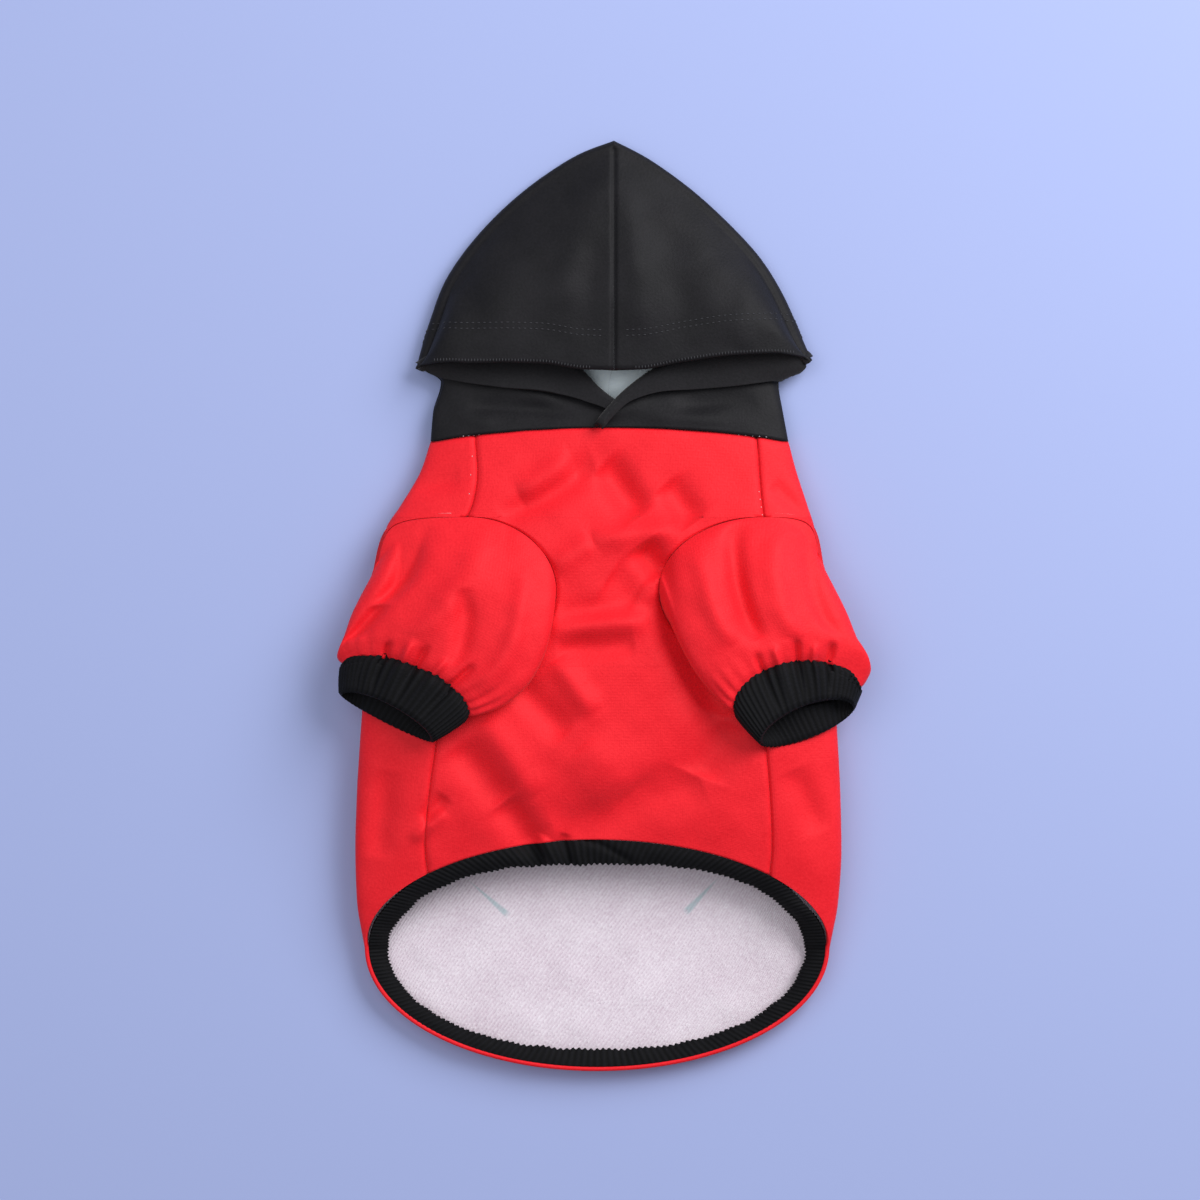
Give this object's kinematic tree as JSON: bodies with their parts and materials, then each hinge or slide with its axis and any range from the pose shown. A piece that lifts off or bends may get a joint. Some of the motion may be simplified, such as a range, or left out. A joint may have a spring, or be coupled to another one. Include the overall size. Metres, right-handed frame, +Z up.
{
  "type": "dog hoodie",
  "caption": "Pullover hoodie for a dog, lying on its back: fleece body with two sleeves, ribbed cuffs and hem band, and a crossed-front hood.",
  "frame": {"origin": "on the ground under the middle of the hoodie as it lies", "axes": "+Y to the tip of the hood, +X to the right as seen from above, +Z up, from the back to the belly side"},
  "size_m": [0.2392, 0.4208, 0.0413],
  "materials": {
    "red_fleece_back": "soft knit, matt red outside, pinkish white inside",
    "red_fleece": "soft knit, matt red",
    "red_fleece_sleeve_left": "soft knit, matt red",
    "red_fleece_sleeve_right": "soft knit, matt red",
    "black_rib_cuff_left": "ribbed knit, matt black",
    "black_rib_cuff_right": "ribbed knit, matt black",
    "black_rib_hem": "ribbed knit, matt black",
    "black_jersey_left": "soft knit, matt black",
    "black_jersey_right": "soft knit, matt black"
  },
  "bodies": {
    "root": {"back_panel": "red_fleece_back", "belly_panel": "red_fleece", "sleeve_left": "red_fleece_sleeve_left", "sleeve_right": "red_fleece_sleeve_right", "cuff_left": "black_rib_cuff_left", "cuff_right": "black_rib_cuff_right", "hem_band": "black_rib_hem", "hood_left": "black_jersey_left", "hood_right": "black_jersey_right"}
  },
  "joints": []
}
